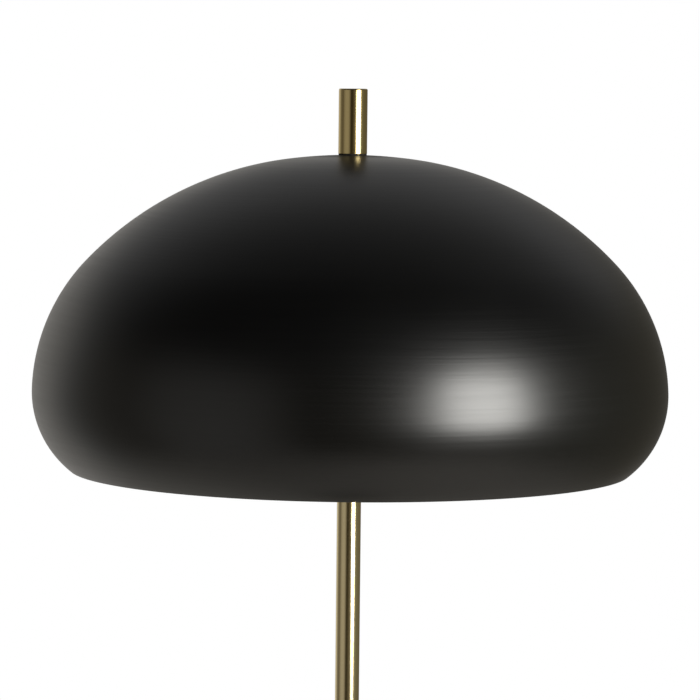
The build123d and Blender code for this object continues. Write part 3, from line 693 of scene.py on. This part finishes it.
class LAMP_OT_finial(Operator):
    """Brass finial, the fibre washer under it and the threaded rod it screws on"""
    bl_idname = "lamp.finial"
    bl_label = "Finial and rod"

    def execute(self, context):
        size = context.scene.lamp_metalwork
        low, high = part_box("finial")
        foot, bore = size.finial_foot_edge, size.bore_radius
        body = rounded([(0, high.z), (high.x, high.z, size.finial_edge), (high.x, low.z, foot),
                        (bore, low.z, foot), (bore, low.z + size.finial_bore),
                        (0, low.z + size.finial_bore)])
        add_piece("turned_finial", turned(body, around=128), "finial")
        low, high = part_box("finial_washer")
        soft = (high.z - low.z) / 4
        washer = rounded([(size.hole_radius, low.z), (high.x, low.z, soft), (high.x, high.z, soft),
                          (size.hole_radius, high.z)])
        add_piece("fibre_washer", turned(washer), "finial_washer")
        low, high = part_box("shade_rod")
        pitch, depth, rows_per_turn = size.thread_pitch, size.thread_depth, 8
        root = high.x - depth
        wall = upright(high.x, np.arange(low.z + depth, high.z - depth, pitch / rows_per_turn))
        rod = np.concatenate([[(0, low.z), (root, low.z)], wall, [(root, high.z), (0, high.z)]])
        thread = screw_relief(pitch, depth, low.z, high.z, above=high.x - depth / 2)
        add_piece("threaded_rod", turned(rod, around=48, relief=thread), "shade_rod", sharp=60.0)
        return {"FINISHED"}


class LAMP_OT_stem(Operator):
    """Brass tubes of the stem and the neck, each with broken edges so that the joints show"""
    bl_idname = "lamp.stem"
    bl_label = "Stem"

    def execute(self, context):
        size = context.scene.lamp_metalwork
        tubes = {"stem_lower": "lower_tube", "stem_middle": "middle_tube", "stem_upper": "upper_tube",
                 "neck_tube": "neck_sleeve"}
        for node, name in tubes.items():
            low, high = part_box(node)
            inner = size.hole_radius if node == "neck_tube" else high.x - size.tube_wall
            tube = rounded([(inner, low.z), (high.x, low.z, size.tube_chamfer),
                            (high.x, high.z, size.tube_chamfer), (inner, high.z)], steps=4)
            add_piece(name, turned(tube), node)
        return {"FINISHED"}


class LAMP_OT_base(Operator):
    """Pressed cover with its cord inlet, and the foot collar on it"""
    bl_idname = "lamp.base"
    bl_label = "Base"

    def execute(self, context):
        size = context.scene.lamp_metalwork
        fine = size.tube_chamfer
        low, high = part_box("foot_collar")
        floor, socket = low.z + size.collar_floor, size.collar_socket
        collar = rounded([(size.hole_radius, low.z), (high.x, low.z, fine),
                          (high.x, high.z, size.collar_edge), (socket, high.z, fine), (socket, floor),
                          (size.hole_radius, floor)])
        add_piece("turned_foot", turned(collar, around=128), "foot_collar")
        low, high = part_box("base_cover")
        around, wall = 400, size.cover_wall
        skirt = hole_rows(size.inlet_height, 2 * math.pi * high.x / around)
        cover = rounded([(size.hole_radius, high.z), (high.x, high.z, size.cover_edge)]
                        + [(high.x, z) for z in skirt[::-1]]
                        + [(high.x, low.z, fine), (high.x - wall, low.z, fine)]
                        + [(high.x - wall, z) for z in skirt]
                        + [(high.x - wall, high.z - wall, size.cover_edge - wall),
                           (size.hole_radius, high.z - wall)], steps=10)
        inlet_hole = (around // 4, size.inlet_height, size.grommet_radius)
        add_piece("pressed_cover", turned(cover, around, hole=inlet_hole), "base_cover")
        flange, thick = size.grommet_flange, size.flange_thickness
        face = -wall - high.x + math.sqrt(high.x ** 2 - flange ** 2)
        bush = rounded([(size.inlet_bore, face - thick, fine), (flange, face - thick, fine),
                        (flange, face), (size.grommet_radius, face), (size.grommet_radius, 0),
                        (flange, 0), (flange, thick, thick / 2), (size.inlet_bore, thick, thick / 3)])
        inlet = place_frame((0, high.x, size.inlet_height), (1, 0, 0), (0, 1, 0))
        add_piece("inlet_bush", turned(bush, around=64, place=inlet), "cord_grommet")
        return {"FINISHED"}


class LAMP_OT_cluster(Operator):
    """Lid of the two-light cluster"""
    bl_idname = "lamp.cluster"
    bl_label = "Cluster"

    def execute(self, context):
        size = context.scene.lamp_metalwork
        low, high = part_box("cluster_lid")
        rim = low.z + size.lid_spigot
        spigot = high.x - size.cluster_wall - size.slip_gap
        lid = rounded([(size.bore_radius, low.z), (spigot, low.z), (spigot, rim),
                       (high.x, rim, size.tube_chamfer), (high.x, high.z, size.lid_edge),
                       (size.bore_radius, high.z, size.tube_chamfer)])
        add_piece("cluster_top", turned(lid, around=128), "cluster_lid")
        return {"FINISHED"}


class LAMP_OT_holders(Operator):
    """Brass caps, beaded sleeves and screw shells of the lampholders, and their fluted knobs"""
    bl_idname = "lamp.holders"
    bl_label = "Lampholders"

    def execute(self, context):
        size, bulb = context.scene.lamp_holder, context.scene.lamp_bulb
        around, sleeve_rows, shoulder_steps, rows_per_turn = 80, 90, 14, 10
        sleeve_radius = size.radius - size.sheet - size.gap
        cap = self.cap_outline(size, context.scene.lamp_metalwork.bore_radius, shoulder_steps)

        contact_hole, thread_gap, plain_floor, plain_mouth = 0.005, 0.0003, 0.001, 0.0005
        floor, mouth = size.switch_end, size.screw_end
        inside = bulb.cap_radius + thread_gap
        outside, bottom = inside + size.screw_wall, floor + size.screw_wall
        wall = np.arange(floor + plain_floor, mouth - plain_mouth, bulb.pitch / rows_per_turn)
        screw = np.concatenate([[(contact_hole, floor), (outside, floor)], upright(outside, wall),
                                [(outside, mouth), (inside, mouth)], upright(inside, wall)[::-1],
                                [(inside, bottom), (contact_hole, bottom)]])
        thread = screw_relief(bulb.pitch, -bulb.depth, floor + 2 * plain_floor, mouth - 2 * plain_mouth,
                              above=inside - TINY)

        pitch = 2 * math.pi * sleeve_radius / around
        window = hole_rows(size.knob_position, pitch)
        rows = np.concatenate([[size.shell_start], window,
                               np.linspace(window[-1] + pitch, size.shell_end, sleeve_rows)])
        beads = [(window[-1] + size.shell_end) / 2, size.shell_end - 2.5 * size.bead_width]
        swell = sum(np.clip(1 - ((rows - middle) / size.bead_width) ** 2, 0, 1) ** 0.5
                    for middle in beads)
        skin = sleeve_radius + size.bead_height * swell
        sleeve = np.concatenate([np.column_stack((skin, rows)),
                                 np.column_stack((skin - size.sheet, rows))[::-1]])
        window_hole = (0, size.knob_position, size.window_radius)

        front_edge, back_edge = 0.0008, 0.0003
        knob = rounded([(0, size.knob_length), (size.knob_radius, size.knob_length, front_edge),
                        (size.knob_radius, 0, back_edge), (size.shaft_radius, 0),
                        (size.shaft_radius, size.knob_hole), (0, size.knob_hole)])

        for word, side in SIDES.items():
            place = holder_frame(side)
            add_piece(f"{word}_holder_cap", turned(cap, place=place), f"socket_cap_{word}")
            add_piece(f"{word}_holder_sleeve", turned(sleeve, around, place, hole=window_hole),
                      f"socket_shell_{word}")
            add_piece(f"{word}_screw_shell", turned(screw, place=place, relief=thread),
                      f"screw_shell_{word}", sharp=50.0)
            foot = (place[:3, 3] + place[:3, 2] * size.knob_position
                    - np.array([0.0, sleeve_radius + size.knob_gap, 0.0]))
            knob_place = place_frame(foot, (0, 0, 1), (0, -1, 0))
            add_piece(f"{word}_knob", turned(knob, around=240, place=knob_place, relief=self.flutes),
                      f"switch_knob_{word}")
        return {"FINISHED"}

    def cap_outline(self, size, bore, steps):
        """Neck, quarter-round shoulder and skirt of a lampholder's cap, out and back again."""
        skirt, sheet = size.radius, size.sheet
        reach = skirt - size.neck_radius
        centre = (size.neck_radius, size.neck_length + reach)
        outer = circle_part(centre, reach, math.pi, math.pi / 2, steps)
        inner = circle_part(centre, reach - sheet, math.pi / 2, math.pi, steps)
        return np.concatenate([[(bore, 0), (size.neck_radius, 0)], outer,
                               [(skirt, size.cap_length), (skirt - sheet, size.cap_length)], inner,
                               [(bore, size.neck_length + sheet)]])

    def flutes(self, a, r, z):
        """Relief of a knob. A flute's circle, of radius f and with its centre c from the axis, cuts the
        radius back to c cos d - sqrt(f^2 - (c sin d)^2), with d the angle from the flute's middle."""
        size = bpy.context.scene.lamp_holder
        middle = size.knob_radius + size.flute_radius / 2
        pitch = 2 * math.pi / size.flutes
        d = (a + pitch / 2) % pitch - pitch / 2
        inside = size.flute_radius ** 2 - (middle * np.sin(d)) ** 2
        cut = middle * np.cos(d) - np.sqrt(np.maximum(inside, 0))
        return np.minimum(0, np.where(inside > 0, cut, size.knob_radius) - r)


class LAMP_OT_bulbs(Operator):
    """Opal bulbs with rolled screw caps"""
    bl_idname = "lamp.bulbs"
    bl_label = "Bulbs"

    def execute(self, context):
        size = context.scene.lamp_bulb
        outer, inner = glass_outline(size, 0.0, steps=14), glass_outline(size, size.glass, steps=8)
        glass = np.concatenate([inner[::-1], outer])
        glass[[0, -1], 0] = 0.0
        rounding, plain_start, plain_end, rows_per_turn = 0.001, 0.003, 0.004, 10
        start, end = size.cap_start, size.cap_start + size.cap_length
        outside, inside = size.cap_radius, size.cap_radius - size.cap_wall
        bottom = start + size.cap_wall
        wall = np.arange(start + rounding, end, size.pitch / rows_per_turn)
        cap = np.concatenate([[(size.tip_radius, start), (outside - rounding, start)],
                              upright(outside, wall), [(outside, end), (inside, end)],
                              upright(inside, wall)[::-1],
                              [(outside - rounding, bottom), (size.tip_radius, bottom)]])
        thread = screw_relief(size.pitch, size.depth, start + plain_start, end - plain_end,
                              above=outside - size.depth)
        for word, side in SIDES.items():
            place = holder_frame(side)
            add_piece(f"{word}_bulb_glass", turned(glass, place=place), f"bulb_globe_{word}")
            add_piece(f"{word}_bulb_cap", turned(cap, place=place, relief=thread),
                      f"bulb_cap_{word}", sharp=50.0)
        return {"FINISHED"}


class LAMP_OT_finishes(Operator):
    """Finishes of the CAD parts that show as they are"""
    bl_idname = "lamp.finishes"
    bl_label = "Other finishes"

    def execute(self, context):
        for name, node in frame["nodes"].items():
            node.data.materials.clear()
            node.data.materials.append(finish(SLOT_OF[name]))
        return {"FINISHED"}


class LAMP_OT_studio(Operator):
    """Pale floor, softboxes, room light and camera"""
    bl_idname = "lamp.studio"
    bl_label = "Studio"

    def execute(self, context):
        size = context.scene.lamp_studio
        self.make_floor(size)
        before_the_key, top_place, top_side = 0.99, Vector((0.0, 0.3, 2.9)), 1.5
        middle = Vector((0.0, 0.0, size.key_height))
        away = size.light_distance * Vector((math.sin(size.key_azimuth), -math.cos(size.key_azimuth), 0))
        self.make_light("key_softbox", middle + away, middle, size.key_wide, size.key_tall,
                        size.key_radiance, "ELLIPSE")
        self.make_light("key_core", middle + away * before_the_key, middle, size.core_wide,
                        size.core_tall, size.core_radiance)
        top = self.make_light("top_softbox", top_place, Vector((0.0, 0.0, 0.0)), top_side, top_side,
                              size.top_radiance)
        top.visible_glossy = False
        self.make_world()
        self.make_camera(context, size)
        return {"FINISHED"}

    def make_light(self, name, position, target, wide, tall, radiance, shape="RECTANGLE"):
        """Flat light, hidden from the camera, of a given brightness: power = radiance x pi x area."""
        data = bpy.data.lights.new(name, "AREA")
        data.shape, data.size, data.size_y = shape, wide, tall
        area = wide * tall * (math.pi / 4 if shape == "ELLIPSE" else 1)
        data.energy = radiance * math.pi * area
        data.color = bpy.context.scene.lamp_studio.light_tone
        light = bpy.data.objects.new(name, data)
        bpy.context.scene.collection.objects.link(light)
        light.location = position
        light.rotation_mode = "QUATERNION"
        light.rotation_quaternion = (target - position).to_track_quat("-Z", "Y")
        light.visible_camera = False
        return light

    def make_floor(self, size):
        """Disc at floor level, as points R (sin a, -cos a): faded out towards its edge, and clear when it
        is seen from below. To the camera it glows a little, so that it meets the backdrop, and to metal
        and gloss it shows painted light: it is painted lighter behind the lamp and to its left, darker in
        front and to its right."""
        fade_start, fade_end = size.floor_radius * 0.3, size.floor_radius * 0.95
        dark_corner, light_corner, glow = -0.4, 1.4, 0.48
        a = np.linspace(0, 2 * math.pi, 96, endpoint=False)
        rim = np.column_stack((np.sin(a), -np.cos(a), 0 * a)) * size.floor_radius
        mesh = bpy.data.meshes.new("floor")
        mesh.from_pydata(rim.tolist(), [], [list(range(len(rim)))])
        floor = bpy.data.objects.new("floor", mesh)
        bpy.context.scene.collection.objects.link(floor)
        material = bpy.data.materials.new("studio_floor")
        material.use_nodes = True
        nodes = Nodes(material.node_tree)
        place = nodes.place()
        away = nodes.add("ShaderNodeVectorMath", {"operation": "LENGTH"}, {0: place}, output="Value")
        below = nodes.add("ShaderNodeNewGeometry", output="Backfacing")
        shown = (1.0 - nodes.ease(away, fade_start, fade_end)) * (1.0 - below)
        aside = nodes.add("ShaderNodeSeparateXYZ", inputs={"Vector": place})
        # Painted light on the floor, seen only in reflections: lighter behind the lamp and to its left.
        behind = nodes.ease(aside.out("Y") - aside, dark_corner, light_corner)
        mirrored = nodes.mix(behind, (0.60, 0.57, 0.53), (0.95, 0.92, 0.86))
        shade = bpy.context.scene.lamp_finish.floor
        painted = nodes.mix(nodes.noise(place, (3.0, 3.0, 3.0)), tone(shade, 0.985), shade)
        glossy, camera = (nodes.add("ShaderNodeLightPath", output=ray)
                          for ray in ("Is Glossy Ray", "Is Camera Ray"))
        paint = nodes.add("ShaderNodeBsdfPrincipled", inputs={
            "Base Color": nodes.mix(glossy, painted, mirrored), "Roughness": 0.85,
            "Specular IOR Level": 0.2, "Emission Strength": glow,
            "Emission Color": nodes.mix(camera, BLACK, WHITE)})
        clear = nodes.add("ShaderNodeBsdfTransparent")
        nodes.add("ShaderNodeOutputMaterial", inputs={
            "Surface": nodes.add("ShaderNodeMixShader", inputs={0: shown, 1: clear, 2: paint})})
        mesh.materials.append(material)

    def make_world(self):
        """White backdrop for the camera, and for metal and gloss the studio it stands in, by direction:
        light walls behind the lamp and at its left, a dark end where the camera stands. The walls'
        colours run by degrees to the right of the camera, and the ceiling's from the camera's side, 0,
        to the back, 1, a little darker over the sides."""
        wall_end, ceiling_start, side_dip = 0.14, 0.54, 0.12
        world = bpy.data.worlds.new("studio")
        bpy.context.scene.world = world
        world.use_nodes = True
        nodes = Nodes(world.node_tree)
        way = nodes.add("ShaderNodeSeparateXYZ", inputs={
            "Vector": nodes.add("ShaderNodeTexCoord", output="Generated")})
        x, y, z = way.out("X"), way.out("Y"), way.out("Z")
        turn = y.math("ARCTAN2", x, y * -1.0) / (2 * math.pi) + 0.5
        walls = [(-180, (0.62, 0.60, 0.56)), (-160, (0.54, 0.52, 0.49)), (-146, (0.58, 0.56, 0.52)),
                 (-130, (0.56, 0.54, 0.50)), (-121, (0.33, 0.33, 0.32)), (-108, (0.17, 0.16, 0.14)),
                 (-84, (0.11, 0.10, 0.085)), (-74, (0.24, 0.23, 0.21)), (-60, (0.33, 0.32, 0.30)),
                 (-36, (0.33, 0.32, 0.30)), (-24, (0.18, 0.17, 0.15)), (-18, (0.025, 0.02, 0.01)),
                 (-1, (0.025, 0.02, 0.01)), (2, (0.055, 0.046, 0.028)), (30, (0.07, 0.06, 0.04)),
                 (66, (0.12, 0.11, 0.08)), (70, (0.14, 0.14, 0.11)), (126, (0.13, 0.12, 0.09)),
                 (150, (0.12, 0.11, 0.085)), (164, (0.17, 0.16, 0.14)), (180, (0.60, 0.58, 0.55))]
        stops = [((degrees + 180) / 360, shade) for degrees, shade in walls]
        wall = nodes.add("ShaderNodeValToRGB", {"stops": stops}, {"Fac": turn})
        overhead = [(0.0, (0.02,) * 3), (0.40, (0.02,) * 3), (0.5, (0.06,) * 3), (0.6, (0.11,) * 3),
                    (0.72, (0.18,) * 3), (0.80, (0.27,) * 3), (0.9, (0.30,) * 3), (1.0, (0.26,) * 3)]
        ceiling = nodes.add("ShaderNodeValToRGB", {"stops": overhead},
                            {"Fac": y * 0.5 + 0.5 - x * x * side_dip})
        seen = nodes.mix(nodes.ease(z, wall_end, ceiling_start), wall, ceiling)
        camera = nodes.add("ShaderNodeLightPath", output="Is Camera Ray")
        shown = nodes.mix(camera, seen, WHITE)
        nodes.add("ShaderNodeOutputWorld", inputs={
            "Surface": nodes.add("ShaderNodeBackground", inputs={"Color": shown, "Strength": 1.0})})

    def make_camera(self, context, size):
        """Camera in front of the shade, a little above it."""
        data = bpy.data.cameras.new("camera")
        data.lens, data.sensor_width = size.camera_lens, SENSOR_WIDTH
        camera = bpy.data.objects.new("camera", data)
        context.scene.collection.objects.link(camera)
        camera.matrix_world = (Matrix.Translation((0.0, -size.camera_distance, size.camera_height))
                               @ Matrix.Rotation(size.camera_turn, 4, "Z")
                               @ Matrix.Rotation(math.pi / 2 - size.camera_drop, 4, "X")
                               @ Matrix.Rotation(size.camera_roll, 4, "Z"))
        context.scene.camera = camera


STEPS = [LAMP_OT_shade, LAMP_OT_finial, LAMP_OT_stem, LAMP_OT_base, LAMP_OT_cluster, LAMP_OT_holders,
         LAMP_OT_bulbs, LAMP_OT_finishes, LAMP_OT_studio]


class LAMP_PT_pieces(Panel):
    """Lists the pieces of the lamp"""
    bl_idname = "LAMP_PT_pieces"
    bl_label = "Mushroom floor lamp"
    bl_space_type = "VIEW_3D"
    bl_region_type = "UI"
    bl_category = "Lamp"

    def draw(self, context):
        for step in STEPS:
            self.layout.operator(step.bl_idname)


def register():
    for group in GROUPS.values():
        bpy.utils.register_class(group)
    for step in STEPS:
        bpy.utils.register_class(step)
    bpy.utils.register_class(LAMP_PT_pieces)
    for name, group in GROUPS.items():
        setattr(bpy.types.Scene, name, PointerProperty(type=group))


def unregister():
    for name in GROUPS:
        delattr(bpy.types.Scene, name)
    bpy.utils.unregister_class(LAMP_PT_pieces)
    for step in reversed(STEPS):
        bpy.utils.unregister_class(step)
    for group in GROUPS.values():
        bpy.utils.unregister_class(group)


def main():
    register()
    bpy.context.scene.view_settings.view_transform = "Standard"
    for step in (bpy.ops.lamp.shade, bpy.ops.lamp.finial, bpy.ops.lamp.stem, bpy.ops.lamp.base,
                 bpy.ops.lamp.cluster, bpy.ops.lamp.holders, bpy.ops.lamp.bulbs, bpy.ops.lamp.finishes,
                 bpy.ops.lamp.studio):
        step()


if __name__ == "__main__":
    main()
